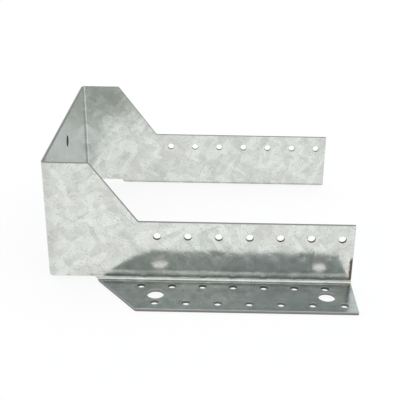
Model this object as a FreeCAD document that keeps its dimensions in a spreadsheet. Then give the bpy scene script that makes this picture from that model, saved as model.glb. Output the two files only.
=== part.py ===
import FreeCAD, Part
import os
from typing import NamedTuple, Optional

import Sketcher

# Joist hanger for fixing to the face of a header, folded from one galvanised sheet.
# Millimetres. X = 0 is the bearing face of the seat, with the legs running to +X (up in use).
# Y = 0 is the middle of the joist. Z = 0 is the header face, with the joist running to +Z.
# One half is modelled on +Y and mirrored, and the hole on the middle line is punched last.

NODE = "joist_hanger"

SIZES = {
    # the sheet and its folds
    "sheet_thickness": 2.0,
    "bend_radius": 1.5,
    # the U that holds the joist: clear width, bearing face to leg ends, header face to front edge
    "joist_width": 160.0,
    "leg_length": 198.0,
    "seat_depth": 84.0,
    # each leg's tab at the seat, and the sloping edge from it to the nailing strip
    "tab_length": 28.0,
    "tab_slope_run": 30.0,
    "tab_corner_radius": 2.0,
    "strip_depth": 44.0,
    # the flanges on the header, from the leg's outer face, with a sloping edge at the seat end
    "flange_width": 36.0,
    "flange_start": 28.5,
    "flange_slope_run": 30.0,
    "flange_corner_radius": 2.0,
    # nail holes: rows of one pitch, first hole from the bearing face, last hole from the leg end
    "nail_hole_diameter": 5.0,
    "nail_pitch": 20.0,
    "nail_first": 70.0,
    "nail_end_margin": 8.0,
    "strip_nail_margin": 10.0,
    "inner_row_offset": 8.0,
    "outer_row_margin": 8.0,
    # bolt holes on the middle line of each flange
    "bolt_hole_diameter": 11.0,
    "bolt_first": 70.0,
    "bolt_end_margin": 18.0,
    # the hole through the seat on the joist's middle line, set back from the front edge
    "seat_hole_diameter": 8.0,
    "seat_hole_margin": 16.5,
}

# Places that several features share, as expressions on the sizes.
LEG_INNER = "Sizes.joist_width / 2"
LEG_OUTER = f"{LEG_INNER} + Sizes.sheet_thickness"
OUTER_RADIUS = "Sizes.bend_radius + Sizes.sheet_thickness"
FLANGE_BEND = f"{LEG_OUTER} + Sizes.bend_radius"
FLANGE_EDGE = f"{LEG_OUTER} + Sizes.flange_width"
SLOPE_FOOT = "Sizes.tab_length + Sizes.tab_slope_run"
FLANGE_CORNER = "Sizes.flange_start + Sizes.flange_slope_run"
# The sloping edge is straight on the flat sheet, so the bend takes its share of the rise.
BEND_LENGTH = "pi / 2 * (Sizes.bend_radius + Sizes.sheet_thickness / 2)"
FLAT_LENGTH = "Sizes.flange_width - Sizes.bend_radius"
BEND_RISE = f"Sizes.flange_slope_run * {BEND_LENGTH} / ({BEND_LENGTH} + {FLAT_LENGTH})"
HALF_PITCH_EARLIER = "Sizes.nail_first - Sizes.nail_pitch / 2"
LAST_NAIL = "Sizes.leg_length - Sizes.nail_end_margin"
LAST_BOLT = "Sizes.leg_length - Sizes.bolt_end_margin"
COUNT_SLACK = 0.001
MATCH = 1e-4

doc = FreeCAD.newDocument("JoistHanger")
sheet = doc.addObject("Spreadsheet::Sheet", "Sizes")
for row, (alias, size) in enumerate(SIZES.items(), start=1):
    sheet.set(f"A{row}", alias)
    sheet.set(f"B{row}", str(size))
    sheet.setAlias(f"B{row}", alias)
doc.recompute()

body = doc.addObject("PartDesign::Body", "Hanger")
body.Label = NODE


class Corner(NamedTuple):
    """A corner of an outline; with a centre, the edge that arrives there is an arc of that radius."""

    x: str
    y: str
    centre: Optional[tuple] = None
    radius: Optional[str] = None


def value(expression):
    """The number that an expression on the sizes comes to."""
    return float(sheet.evalExpression(expression))


def origin_plane(role):
    """The body's own origin plane with this role."""
    return next(feature for feature in body.Origin.OriginFeatures if feature.Role == role)


def new_sketch(name, role, offset=None):
    """A sketch on one of the body's origin planes, or a stated distance along that plane's normal."""
    sketch = body.newObject("Sketcher::SketchObject", name)
    sketch.AttachmentSupport = (origin_plane(role), [""])
    sketch.MapMode = "FlatFace"
    if offset:
        sketch.setExpression("AttachmentOffset.Base.z", offset)
    return sketch


def bind(sketch, kind, references, expression):
    """Adds a dimension to a sketch and ties it to the sizes."""
    index = sketch.addConstraint(Sketcher.Constraint(kind, *references, value(expression)))
    sketch.setExpression(f"Constraints[{index}]", expression)


def arc_between(start, end, centre):
    """The shorter arc from start to end about a centre, and whether it is drawn from its end."""
    radius = (start - centre).Length
    backwards = (start - centre).cross(end - centre).z < 0
    first, last = (end, start) if backwards else (start, end)
    circle = Part.Circle(centre, FreeCAD.Vector(0, 0, 1), radius)
    return Part.ArcOfCircle(circle, circle.parameter(first), circle.parameter(last)), backwards


def draw_outline(sketch, corners):
    """Draws a closed outline, with each corner held by its two distances from the sketch's origin."""
    points = [FreeCAD.Vector(value(corner.x), value(corner.y), 0) for corner in corners]
    starts, ends = [], []
    for index, corner in enumerate(corners):
        backwards = False
        if corner.centre is None:
            edge = Part.LineSegment(points[index - 1], points[index])
        else:
            centre = FreeCAD.Vector(value(corner.centre[0]), value(corner.centre[1]), 0)
            edge, backwards = arc_between(points[index - 1], points[index], centre)
        sketch.addGeometry(edge)
        starts.append(2 if backwards else 1)
        ends.append(1 if backwards else 2)
    for index, corner in enumerate(corners):
        following = (index + 1) % len(corners)
        join = Sketcher.Constraint("Coincident", index, ends[index], following, starts[following])
        sketch.addConstraint(join)
        bind(sketch, "DistanceX", (-1, 1, index, ends[index]), corner.x)
        bind(sketch, "DistanceY", (-1, 1, index, ends[index]), corner.y)
        if corner.radius:
            bind(sketch, "Radius", (index,), corner.radius)


def draw_circle(sketch, x, y, diameter):
    """Draws a circle held by its centre's distances from the sketch's origin and its diameter."""
    centre = FreeCAD.Vector(value(x), value(y), 0)
    circle = sketch.addGeometry(Part.Circle(centre, FreeCAD.Vector(0, 0, 1), value(diameter) / 2))
    bind(sketch, "DistanceX", (-1, 1, circle, 3), x)
    bind(sketch, "DistanceY", (-1, 1, circle, 3), y)
    bind(sketch, "Diameter", (circle,), diameter)


def pad(name, sketch, length):
    """Raises a sketch along its normal."""
    feature = body.newObject("PartDesign::Pad", name)
    feature.Profile = sketch
    feature.setExpression("Length", length)
    doc.recompute()
    return feature


def cut(name, sketch, length=None, towards_normal=False):
    """Cuts a sketch out of the sheet, right through it unless a length is given."""
    before = body.Shape.Volume
    feature = body.newObject("PartDesign::Pocket", name)
    feature.Profile = sketch
    feature.Reversed = towards_normal
    if length:
        feature.setExpression("Length", length)
    else:
        feature.Type = "ThroughAll"
    doc.recompute()
    if feature.Shape.Volume >= before:
        raise RuntimeError(f"{name} removed nothing")
    return feature


def row_along_legs(name, hole, spacing, count):
    """Repeats a punched hole along the legs."""
    pattern = body.newObject("PartDesign::LinearPattern", name)
    pattern.Originals = [hole]
    pattern.Direction = (hole.Profile[0], ["H_Axis"])
    pattern.Mode = "Spacing"
    pattern.setExpression("Offset", spacing)
    pattern.setExpression("Occurrences", count)
    body.Tip = pattern
    doc.recompute()
    return pattern


def nails_from(first):
    """How many nail holes fit between the first one and the margin at the leg end."""
    return f"floor(({LAST_NAIL} - ({first})) / Sizes.nail_pitch + {COUNT_SLACK}) + 1"


def edges_at(shape, axis, places):
    """The names of the straight edges along an axis that stand at the given places on the other two."""
    others = [letter for letter in "xyz" if letter != axis]
    names = []
    for number, edge in enumerate(shape.Edges, start=1):
        corners = [vertex.Point for vertex in edge.Vertexes]
        for place in places:
            if all(
                abs(getattr(corner, letter) - value(wanted)) < MATCH
                for corner in corners
                for letter, wanted in zip(others, place)
            ):
                names.append(f"Edge{number}")
    if len(names) != len(places):
        raise RuntimeError(f"found {len(names)} edges along {axis}, wanted {len(places)}")
    return names


def round_corners(name, base, axis, places, radius):
    """Rounds the corners of the cut outline."""
    feature = body.newObject("PartDesign::Fillet", name)
    feature.Base = (base, edges_at(base.Shape, axis, places))
    feature.setExpression("Radius", radius)
    doc.recompute()
    return feature


def build_channel():
    """Half of the U: half of the seat, the bend at its end and one leg, at full depth."""
    bend = ("Sizes.bend_radius", f"{LEG_INNER} - Sizes.bend_radius")
    section = new_sketch("ChannelSection", "XY_Plane", OUTER_RADIUS)
    draw_outline(
        section,
        [
            Corner("-Sizes.sheet_thickness", "0"),
            Corner("-Sizes.sheet_thickness", bend[1]),
            Corner(bend[0], LEG_OUTER, bend, OUTER_RADIUS),
            Corner("Sizes.leg_length", LEG_OUTER),
            Corner("Sizes.leg_length", LEG_INNER),
            Corner(bend[0], LEG_INNER),
            Corner("0", bend[1], bend, "Sizes.bend_radius"),
            Corner("0", "0"),
        ],
    )
    return pad("Channel", section, f"Sizes.seat_depth - ({OUTER_RADIUS})")


def cut_leg_outline():
    """Cuts the leg down from the tab, along a slope, to the nailing strip, and rounds both corners."""
    waste = new_sketch("LegWaste", "XZ_Plane")
    draw_outline(
        waste,
        [
            Corner("Sizes.tab_length", "Sizes.seat_depth"),
            Corner(SLOPE_FOOT, "Sizes.strip_depth"),
            Corner("Sizes.leg_length", "Sizes.strip_depth"),
            Corner("Sizes.leg_length", "Sizes.seat_depth"),
        ],
    )
    outline = cut("LegOutline", waste)
    places = [("Sizes.tab_length", "Sizes.seat_depth"), (SLOPE_FOOT, "Sizes.strip_depth")]
    return round_corners("TabCorners", outline, "y", places, "Sizes.tab_corner_radius")


def build_flange():
    """Folds the flange out from the leg's back edge and cuts its sloping edge at the seat end."""
    bend = (FLANGE_BEND, OUTER_RADIUS)
    section = new_sketch("FlangeSection", "YZ_Plane", "Sizes.flange_start")
    draw_outline(
        section,
        [
            Corner(LEG_INNER, OUTER_RADIUS),
            Corner(FLANGE_BEND, "0", bend, OUTER_RADIUS),
            Corner(FLANGE_EDGE, "0"),
            Corner(FLANGE_EDGE, "Sizes.sheet_thickness"),
            Corner(FLANGE_BEND, "Sizes.sheet_thickness"),
            Corner(LEG_OUTER, OUTER_RADIUS, bend, "Sizes.bend_radius"),
        ],
    )
    pad("Flange", section, "Sizes.leg_length - Sizes.flange_start")
    waste = new_sketch("FlangeWaste", "XY_Plane")
    draw_outline(
        waste,
        [
            Corner("Sizes.flange_start", LEG_OUTER),
            Corner(f"Sizes.flange_start + {BEND_RISE}", FLANGE_BEND),
            Corner(FLANGE_CORNER, FLANGE_EDGE),
            Corner("Sizes.flange_start", FLANGE_EDGE),
        ],
    )
    slope = cut("FlangeSlope", waste, OUTER_RADIUS, towards_normal=True)
    places = [(FLANGE_CORNER, FLANGE_EDGE)]
    return round_corners("FlangeCorner", slope, "z", places, "Sizes.flange_corner_radius")


def punch_nail_row(name, role, first, across, towards_normal):
    """Punches one row of nail holes through a leg or a flange."""
    sketch = new_sketch(f"{name}Hole", role)
    draw_circle(sketch, first, across, "Sizes.nail_hole_diameter")
    hole = cut(f"{name}First", sketch, towards_normal=towards_normal)
    return row_along_legs(name, hole, "Sizes.nail_pitch", nails_from(first))


def punch_bolt_holes():
    """Punches the lower and the upper bolt hole on the flange's middle line."""
    sketch = new_sketch("BoltHoles", "XY_Plane")
    middle = f"{LEG_OUTER} + Sizes.flange_width / 2"
    for along in ("Sizes.bolt_first", LAST_BOLT):
        draw_circle(sketch, along, middle, "Sizes.bolt_hole_diameter")
    return cut("Bolts", sketch, towards_normal=True)


def mirror_half():
    """Adds the other half across the joist's middle plane."""
    mirror = body.newObject("PartDesign::Mirrored", "OtherHalf")
    mirror.TransformMode = "Whole shape"
    mirror.MirrorPlane = (origin_plane("XZ_Plane"), [""])
    body.Tip = mirror
    doc.recompute()
    return mirror


def punch_seat_hole():
    """Punches the hole in the middle of the seat."""
    sketch = new_sketch("SeatHole", "YZ_Plane")
    height = "Sizes.seat_depth - Sizes.seat_hole_margin"
    draw_circle(sketch, "0", height, "Sizes.seat_hole_diameter")
    return cut("SeatPunch", sketch)


def check_document():
    """Stops before anything is written if a feature failed or the sheet isn't one valid solid."""
    failed = [item.Name for item in doc.Objects if {"Invalid", "Error"} & set(item.State)]
    if failed:
        raise RuntimeError(f"failed features: {failed}")
    if body.Shape.isNull() or not body.Shape.isValid() or len(body.Shape.Solids) != 1:
        raise RuntimeError(f"{NODE} isn't one valid solid")


build_channel()
cut_leg_outline()
build_flange()
strip_row = "Sizes.strip_depth - Sizes.strip_nail_margin"
inner_row = f"{LEG_OUTER} + Sizes.inner_row_offset"
outer_row = f"{FLANGE_EDGE} - Sizes.outer_row_margin"
punch_nail_row("StripNails", "XZ_Plane", "Sizes.nail_first", strip_row, towards_normal=False)
punch_nail_row("InnerNails", "XY_Plane", HALF_PITCH_EARLIER, inner_row, towards_normal=True)
punch_nail_row("OuterNails", "XY_Plane", "Sizes.nail_first", outer_row, towards_normal=True)
punch_bolt_holes()
mirror_half()
punch_seat_hole()
check_document()

os.makedirs("parts", exist_ok=True)
body.Shape.exportStep(f"parts/{body.Label}.step")
box = body.Shape.BoundBox
print(f"{body.Label}: {box.XLength:.2f} x {box.YLength:.2f} x {box.ZLength:.2f} mm,"
      f" {body.Shape.Volume:.1f} mm3, {len(body.Shape.Faces)} faces")
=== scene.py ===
"""A joist hanger of galvanised sheet, folded from its flat blank and lit as on a studio table.

The sheet is laid out flat, as its maker punches it, and then folded by formula. On the blank, s runs along
the U from the middle of the seat, h runs across the sheet from the line where the header fold begins, and w
runs through its thickness, from -half on the joist side to +half outside. All sizes are in millimetres
until a mesh is written.
"""

import functools
import logging
import math
from dataclasses import dataclass, field
from enum import Enum
from typing import Any

import bpy
import numpy as np
from mathutils import Matrix, Vector
from mathutils.geometry import delaunay_2d_cdt


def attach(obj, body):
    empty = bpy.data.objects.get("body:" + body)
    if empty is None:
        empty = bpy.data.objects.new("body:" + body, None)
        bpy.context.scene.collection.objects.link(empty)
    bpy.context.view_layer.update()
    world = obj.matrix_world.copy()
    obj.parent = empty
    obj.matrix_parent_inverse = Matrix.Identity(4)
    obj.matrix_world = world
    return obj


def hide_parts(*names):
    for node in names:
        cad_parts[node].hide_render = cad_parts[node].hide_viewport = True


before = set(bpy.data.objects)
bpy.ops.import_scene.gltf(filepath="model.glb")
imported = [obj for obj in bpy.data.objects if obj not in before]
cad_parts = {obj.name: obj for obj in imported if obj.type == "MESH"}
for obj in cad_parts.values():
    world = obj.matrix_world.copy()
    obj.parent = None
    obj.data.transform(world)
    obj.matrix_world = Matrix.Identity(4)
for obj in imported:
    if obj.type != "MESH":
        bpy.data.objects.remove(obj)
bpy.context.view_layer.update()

LOG = logging.getLogger("joist_hanger")
MM = 0.001
NODE = "joist_hanger"
SLOT = "galvanised_steel"
BLANK_MAP = "blank"
# Per vertex, how bare a cut is; past 1 it darkens a hole's wall with painted shade.
CUT_ATTRIBUTE = "cut_edge"
DEPTH_ATTRIBUTE = "sheet_depth"
QUARTER_TURN = math.pi / 2
# The inner skin's place on the map, past the outer skin's, in millimetres.
INNER_SHIFT = 700.0
# The middle level of a noise, and the middle of a noise's or a cell's colour.
HALF_LEVEL = 0.5
MIDDLE = (HALF_LEVEL,) * 3
# Places of the sockets of a Mix node that mixes colours.
MIX_FACTOR, MIX_LOW, MIX_HIGH, MIX_RESULT = 0, 6, 7, 2
# How near points of the blank may lie before they merge, and how well they must be met again, in millimetres.
MERGED, MATCHED = 1e-7, 1e-4
# What a count of steps may be over a whole number by rounding.
ROUNDING = 1e-9

Array = np.ndarray
Colour = tuple[float, float, float]
Span = tuple[float, float]
Weights = tuple[tuple[str, float], ...]


class Side(Enum):
    """The two mirrored halves of the hanger, by the sign of s on the blank."""

    NEAR = -1.0
    FAR = 1.0


@dataclass(frozen=True)
class Fold:
    """The sheet's thickness and bends, and the formula that folds a point of the blank."""

    thickness: float = 2.0
    inside_radius: float = 1.5
    joist_width: float = 160.0

    @property
    def half(self) -> float:
        """Half the sheet's thickness."""
        return self.thickness / 2

    @property
    def mid_radius(self) -> float:
        """Radius of a bend at the middle of the sheet."""
        return self.inside_radius + self.half

    @property
    def arc(self) -> float:
        """Length of sheet that one right-angled bend takes."""
        return self.mid_radius * QUARTER_TURN

    @property
    def half_seat(self) -> float:
        """Half the flat width of the seat."""
        return self.joist_width / 2 - self.inside_radius

    @property
    def root(self) -> float:
        """Height above the header face at which the header fold ends and the flat of the legs begins."""
        return self.inside_radius + self.thickness

    def leg_s(self, x: float) -> float:
        """The s of a height x above the bearing face on a leg."""
        return self.half_seat + self.arc + x - self.inside_radius

    def leg_h(self, z: float) -> float:
        """The h of a distance z off the header face on a leg or the seat."""
        return z - self.root

    def flange_h(self, y: float) -> float:
        """The h of a distance y from the joist's middle plane on a flange."""
        return self.joist_width / 2 + self.thickness + self.inside_radius - y - self.arc

    def angles(self, s: Array, h: Array) -> tuple[Array, Array]:
        """Turn of the sheet at points of the blank.

        Args:
            s: Places along the U.
            h: Places across the sheet.

        Returns:
            The angles turned about the seat bend and about the header fold, each from 0 to a quarter turn.
        """
        about_seat = np.clip((np.abs(s) - self.half_seat) / self.mid_radius, 0, QUARTER_TURN)
        about_header = np.clip(-h / self.mid_radius, 0, QUARTER_TURN)
        return about_seat, about_header

    def place(self, s: Array, h: Array, w: Array) -> Array:
        """Folds points of the blank.

        Each bend is a circular arc about a fixed line: the header fold turns h into an offset from the
        leg's middle surface and a height, and the seat bend then turns s and that offset into x and y. Past
        an arc, the sheet runs on straight.

        Args:
            s: Places along the U.
            h: Places across the sheet.
            w: Places through the thickness.

        Returns:
            Points (n, 3) in the row frame.
        """
        seat, header = self.angles(s, h)
        radius = self.mid_radius
        turned_out = np.maximum(-h - self.arc, 0)
        offset = radius - (radius - w) * np.cos(header) + turned_out
        z = self.root + np.maximum(h, 0) - (radius - w) * np.sin(header)
        run = np.maximum(np.abs(s) - self.half_seat - self.arc, 0)
        x = self.inside_radius - (radius + offset) * np.cos(seat) + run
        y = np.minimum(np.abs(s), self.half_seat) + (radius + offset) * np.sin(seat)
        return np.stack((x, np.sign(s) * y, z), axis=-1)

    def axes(self, s: Array, h: Array) -> tuple[Array, Array, Array]:
        """The sheet's own directions at points of the blank.

        Args:
            s: Places along the U.
            h: Places across the sheet.

        Returns:
            Unit vectors (n, 3) along s, along h and out of the sheet's outer skin.
        """
        seat, header = self.angles(s, h)
        side = np.sign(s)
        zero = np.zeros_like(seat)
        along_s = np.stack((side * np.sin(seat), np.cos(seat), zero), axis=-1)
        along_h = np.stack(
            (np.sin(header) * np.cos(seat), -side * np.sin(header) * np.sin(seat), np.cos(header)), axis=-1
        )
        outward = np.stack(
            (-np.cos(header) * np.cos(seat), side * np.cos(header) * np.sin(seat), np.sin(header)), axis=-1
        )
        return along_s, along_h, outward


@dataclass(frozen=True)
class CutLine:
    """A cut line on the blank, run with the metal on its left.

    Attributes:
        points: Places (n, 2) on the blank.
        heading: Direction of travel (n,) at each point, in radians.
        bare: How bare its wall is: 0 keeps the zinc and 1 shows the steel; past 1 painted shade darkens it,
            fully at 2.
    """

    points: Array
    heading: Array
    bare: float = 1.0

    @property
    def inward(self) -> Array:
        """Unit directions (n, 2) into the metal."""
        return np.stack((-np.sin(self.heading), np.cos(self.heading)), axis=1)

    def mirrored(self) -> "CutLine":
        """The line's mirror image across s = 0, run backwards so that the metal stays on its left."""
        return CutLine((self.points * (-1.0, 1.0))[::-1], -self.heading[::-1])

    def joined(self, *others: "CutLine") -> "CutLine":
        """This line with others put on after it."""
        lines = (self, *others)
        return CutLine(np.concatenate([c.points for c in lines]), np.concatenate([c.heading for c in lines]))

    def spaced(self, gap: float) -> "CutLine":
        """The closed line with points put into its long straights.

        Args:
            gap: The longest step between neighbours.

        Returns:
            The finer closed line.
        """
        step = np.roll(self.points, -1, axis=0) - self.points
        count = np.maximum(np.ceil(np.hypot(*step.T) / gap - ROUNDING), 1).astype(int)
        start = np.repeat(np.arange(len(count)), count)
        order = np.arange(count.sum()) - np.repeat(np.cumsum(count) - count, count)
        share = order / count[start]
        points = self.points[start] + share[:, None] * step[start]
        straight = np.arctan2(step[start, 1], step[start, 0])
        return CutLine(points, np.where(order == 0, self.heading[start], straight))


def rounded_corner(before: Array, corner: Array, after: Array, radius: float, steps: int) -> CutLine:
    """A corner of a cut line, eased by an arc tangent to both of its sides.

    The heading turns evenly from one side's direction to the other's, and the points are that heading's
    integral.

    Args:
        before: A point on the side that runs into the corner.
        corner: The sharp corner.
        after: A point on the side that leaves it.
        radius: The arc's radius.
        steps: Number of steps along the arc.

    Returns:
        The arc as a piece of a cut line.
    """
    way_in, way_out = np.subtract(corner, before), np.subtract(after, corner)
    first = math.atan2(way_in[1], way_in[0])
    turn = math.atan2(way_in[0] * way_out[1] - way_in[1] * way_out[0], float(way_in @ way_out))
    start = np.asarray(corner) - way_in / np.hypot(*way_in) * radius * math.tan(abs(turn) / 2)
    heading = first + turn * np.linspace(0, 1, steps + 1)
    swing = np.stack((np.sin(heading) - math.sin(first), math.cos(first) - np.cos(heading)), axis=1)
    return CutLine(start + math.copysign(radius, turn) * swing, heading)


def straight_knots(points: Array, heading: float) -> CutLine:
    """Points along a straight stretch of a cut line, all with one heading."""
    return CutLine(points, np.full(len(points), heading))


def round_hole(s: float, h: float, radius: float, bare: float, steps: int) -> CutLine:
    """A punched hole: a circle run clockwise, so that the metal lies on its left.

    Args:
        s: Place of its centre along the U.
        h: Place of its centre across the sheet.
        radius: Its radius.
        bare: How bare its wall is; past 1, how much painted shade darkens it.
        steps: Number of steps round it.

    Returns:
        The closed cut line.
    """
    turn = -2 * math.pi * np.arange(steps) / steps
    points = np.stack((s + radius * np.cos(turn), h + radius * np.sin(turn)), axis=1)
    return CutLine(points, turn - QUARTER_TURN, bare)


@dataclass(frozen=True)
class Blank:
    """The flat punched sheet: the outline and holes of the hanger, measured as on the folded part.

    Names that end in bare say how bare a hole's wall is, and past 1 how much painted shade darkens it; steps
    are counts of points along an arc, and rows are counts of points along a bend.
    """

    fold: Fold = field(default_factory=Fold)
    leg_length: float = 198.0
    seat_depth: float = 84.0
    tab_length: float = 28.0
    tab_slope_run: float = 30.0
    strip_depth: float = 44.0
    flange_reach: float = 118.0
    flange_start: float = 28.5
    flange_slope_run: float = 30.0
    eased_radius: float = 2.0
    sharp_radius: float = 0.4
    nail_radius: float = 2.5
    bolt_radius: float = 5.5
    seat_hole_radius: float = 4.0
    seat_hole_z: float = 67.5
    leg_nail_z: float = 34.0
    inner_nail_y: float = 90.0
    outer_nail_y: float = 110.0
    bolt_y: float = 100.0
    nail_pitch: float = 20.0
    nails_in_row: int = 7
    leg_nail_first: float = 70.0
    inner_nail_first: float = 60.0
    bolt_heights: tuple[float, float] = (70.0, 180.0)
    # Bareness past 1 is painted shade in a hole's wall: darkest in the nail holes, least in the bolt holes.
    nail_bare: float = 1.85
    inner_nail_bare: float = 1.72
    outer_nail_bare: float = 1.45
    bolt_bare: float = 1.1
    seat_hole_bare: float = 1.6
    bend_steps: int = 14
    root_steps: int = 3
    sharp_steps: int = 4
    eased_steps: int = 6
    hole_steps: int = 24
    hole_steps_per_mm: int = 4
    seat_rows: int = 5
    leg_rows: int = 9
    longest_step: float = 7.0
    row_margin: float = 1.3

    def flange_edge(self, share: Array) -> Array:
        """The flange's sloping edge inside the header fold, one straight line on the blank.

        Args:
            share: How much of the fold the edge has crossed, from 0 at the leg to 1 at the flange's flat.

        Returns:
            Places (n, 2) on the blank.
        """
        fold = self.fold
        crossed = fold.arc * share
        slope = self.flange_slope_run / -fold.flange_h(self.flange_reach)
        return np.stack((fold.leg_s(self.flange_start) + slope * crossed, -crossed), axis=1)

    def half_outline(self) -> CutLine:
        """The outline of the far half, from the middle of the seat's back edge to that of its front.

        Straights run from corner to corner, each corner is eased by an arc, and points are put where a line
        crosses a bend.

        Returns:
            The open cut line of the half with s above 0.
        """
        fold = self.fold
        front, strip = fold.leg_h(self.seat_depth), fold.leg_h(self.strip_depth)
        outer, end = fold.flange_h(self.flange_reach), fold.leg_s(self.leg_length)
        tab = fold.leg_s(self.tab_length)
        foot = fold.leg_s(self.tab_length + self.tab_slope_run)
        shoulder = fold.leg_s(self.flange_start + self.flange_slope_run)
        share = np.linspace(0, 1, self.bend_steps + 1)
        seat_bend = fold.half_seat + fold.arc * share
        root, *in_fold = self.flange_edge(share)
        sloping = math.atan2(*(in_fold[0] - root)[::-1])
        header_bend = -fold.arc * share[::-1]
        level = np.zeros_like(share)
        eased, sharp = (self.eased_radius, self.eased_steps), (self.sharp_radius, self.sharp_steps)
        return straight_knots(np.zeros((1, 2)), 0.0).joined(
            straight_knots(np.stack((seat_bend, level), axis=1), 0.0),
            rounded_corner((0, 0), root, in_fold[0], self.sharp_radius / 2, self.root_steps),
            straight_knots(np.array(in_fold), sloping),
            rounded_corner(in_fold[-1], (shoulder, outer), (end, outer), *eased),
            rounded_corner((shoulder, outer), (end, outer), (end, strip), *sharp),
            straight_knots(np.stack((level + end, header_bend), axis=1), QUARTER_TURN),
            rounded_corner((end, outer), (end, strip), (foot, strip), *sharp),
            rounded_corner((end, strip), (foot, strip), (tab, front), *eased),
            rounded_corner((foot, strip), (tab, front), (0, front), *eased),
            straight_knots(np.stack((seat_bend[::-1], level + front), axis=1), math.pi),
            straight_knots(np.array([[0.0, front]]), math.pi),
        )

    def outline(self) -> CutLine:
        """The whole outline: the far half and its mirror image, closed into one line.

        Returns:
            The closed cut line, with no step longer than the longest.
        """
        half = self.half_outline()
        other = half.mirrored()
        return half.joined(CutLine(other.points[1:-1], other.heading[1:-1])).spaced(self.longest_step)

    def hole_centres(self) -> Array:
        """Sets out the punched holes: rows at the nail pitch, the bolts, and the one hole in the seat.

        Returns:
            Centre s and h, radius and bareness (n, 4) of every hole on the blank, where bareness past 1 is
            painted shade.
        """
        fold = self.fold
        pitch, nail = self.nail_pitch * np.arange(self.nails_in_row), self.nail_radius
        later, earlier = self.leg_nail_first + pitch, self.inner_nail_first + pitch
        rows = (
            (later, fold.leg_h(self.leg_nail_z), nail, self.nail_bare),
            (earlier, fold.flange_h(self.inner_nail_y), nail, self.inner_nail_bare),
            (later, fold.flange_h(self.outer_nail_y), nail, self.outer_nail_bare),
            (np.array(self.bolt_heights), fold.flange_h(self.bolt_y), self.bolt_radius, self.bolt_bare),
        )
        half = np.concatenate([
            np.stack((fold.leg_s(x), *(np.full_like(x, same) for same in others)), axis=1)
            for x, *others in rows
        ])
        seat = [[0.0, fold.leg_h(self.seat_hole_z), self.seat_hole_radius, self.seat_hole_bare]]
        return np.concatenate([half * (side.value, 1.0, 1.0, 1.0) for side in Side] + [seat])

    def holes(self) -> list[CutLine]:
        """Draws every hole, with more steps on the larger ones.

        Returns:
            The cut line of each hole.
        """
        return [
            round_hole(s, h, radius, bare, self.hole_steps + self.hole_steps_per_mm * round(radius))
            for s, h, radius, bare in self.hole_centres()
        ]

    def bend_rows(self) -> tuple[Array, Array]:
        """Rows of points along the bends, so that the skins follow the arcs there.

        Returns:
            Places (n, 2) on the blank, and pairs (m, 2) of neighbours along each row.
        """
        fold, steps = self.fold, self.bend_steps
        share = np.linspace(0, 1, steps + 1)
        depth = np.linspace(self.row_margin, fold.leg_h(self.seat_depth) - self.row_margin, self.seat_rows)
        seat = np.stack(np.meshgrid(fold.half_seat + fold.arc * share, depth, indexing="ij"), axis=-1)
        root = self.flange_edge(np.ones(1))[0, 0] + self.row_margin
        height = np.linspace(root, fold.leg_s(self.leg_length) - self.row_margin, self.leg_rows)
        header = np.stack(np.meshgrid(-fold.arc * share, height, indexing="ij")[::-1], axis=-1)
        grids = [grid * (side.value, 1.0) for grid in (seat, header) for side in Side]
        pairs, base = [], 0
        for grid in grids:
            index = base + np.arange(grid[..., 0].size).reshape(grid.shape[:2])
            pairs.append(np.stack((index[:, :-1], index[:, 1:]), axis=-1).reshape(-1, 2))
            base += index.size
        return np.concatenate([grid.reshape(-1, 2) for grid in grids]), np.concatenate(pairs)


@dataclass(frozen=True)
class ShearedEdge:
    """The profile that a punch leaves on a cut: rolled over outside, burnished, then torn on the joist side.

    Attributes:
        inset: How far each station of the profile stands back from the cut line.
        depth: Its place through the thickness, in half thicknesses.
        lean: Angle of its surface from the outer skin's normal, in degrees.
        bare: How much of the steel shows there, from 0 on the zinc to 1 on the cut.
    """

    inset: tuple[float, ...] = (0.30, 0.16, 0.06, 0.0, 0.0, 0.04, 0.14)
    depth: tuple[float, ...] = (1.0, 0.97, 0.89, 0.76, -0.93, -0.98, -1.0)
    lean: tuple[float, ...] = (0.0, 22.0, 50.0, 88.0, 90.0, 130.0, 180.0)
    bare: tuple[float, ...] = (0.0, 0.3, 0.65, 1.0, 1.0, 0.75, 0.0)


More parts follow.
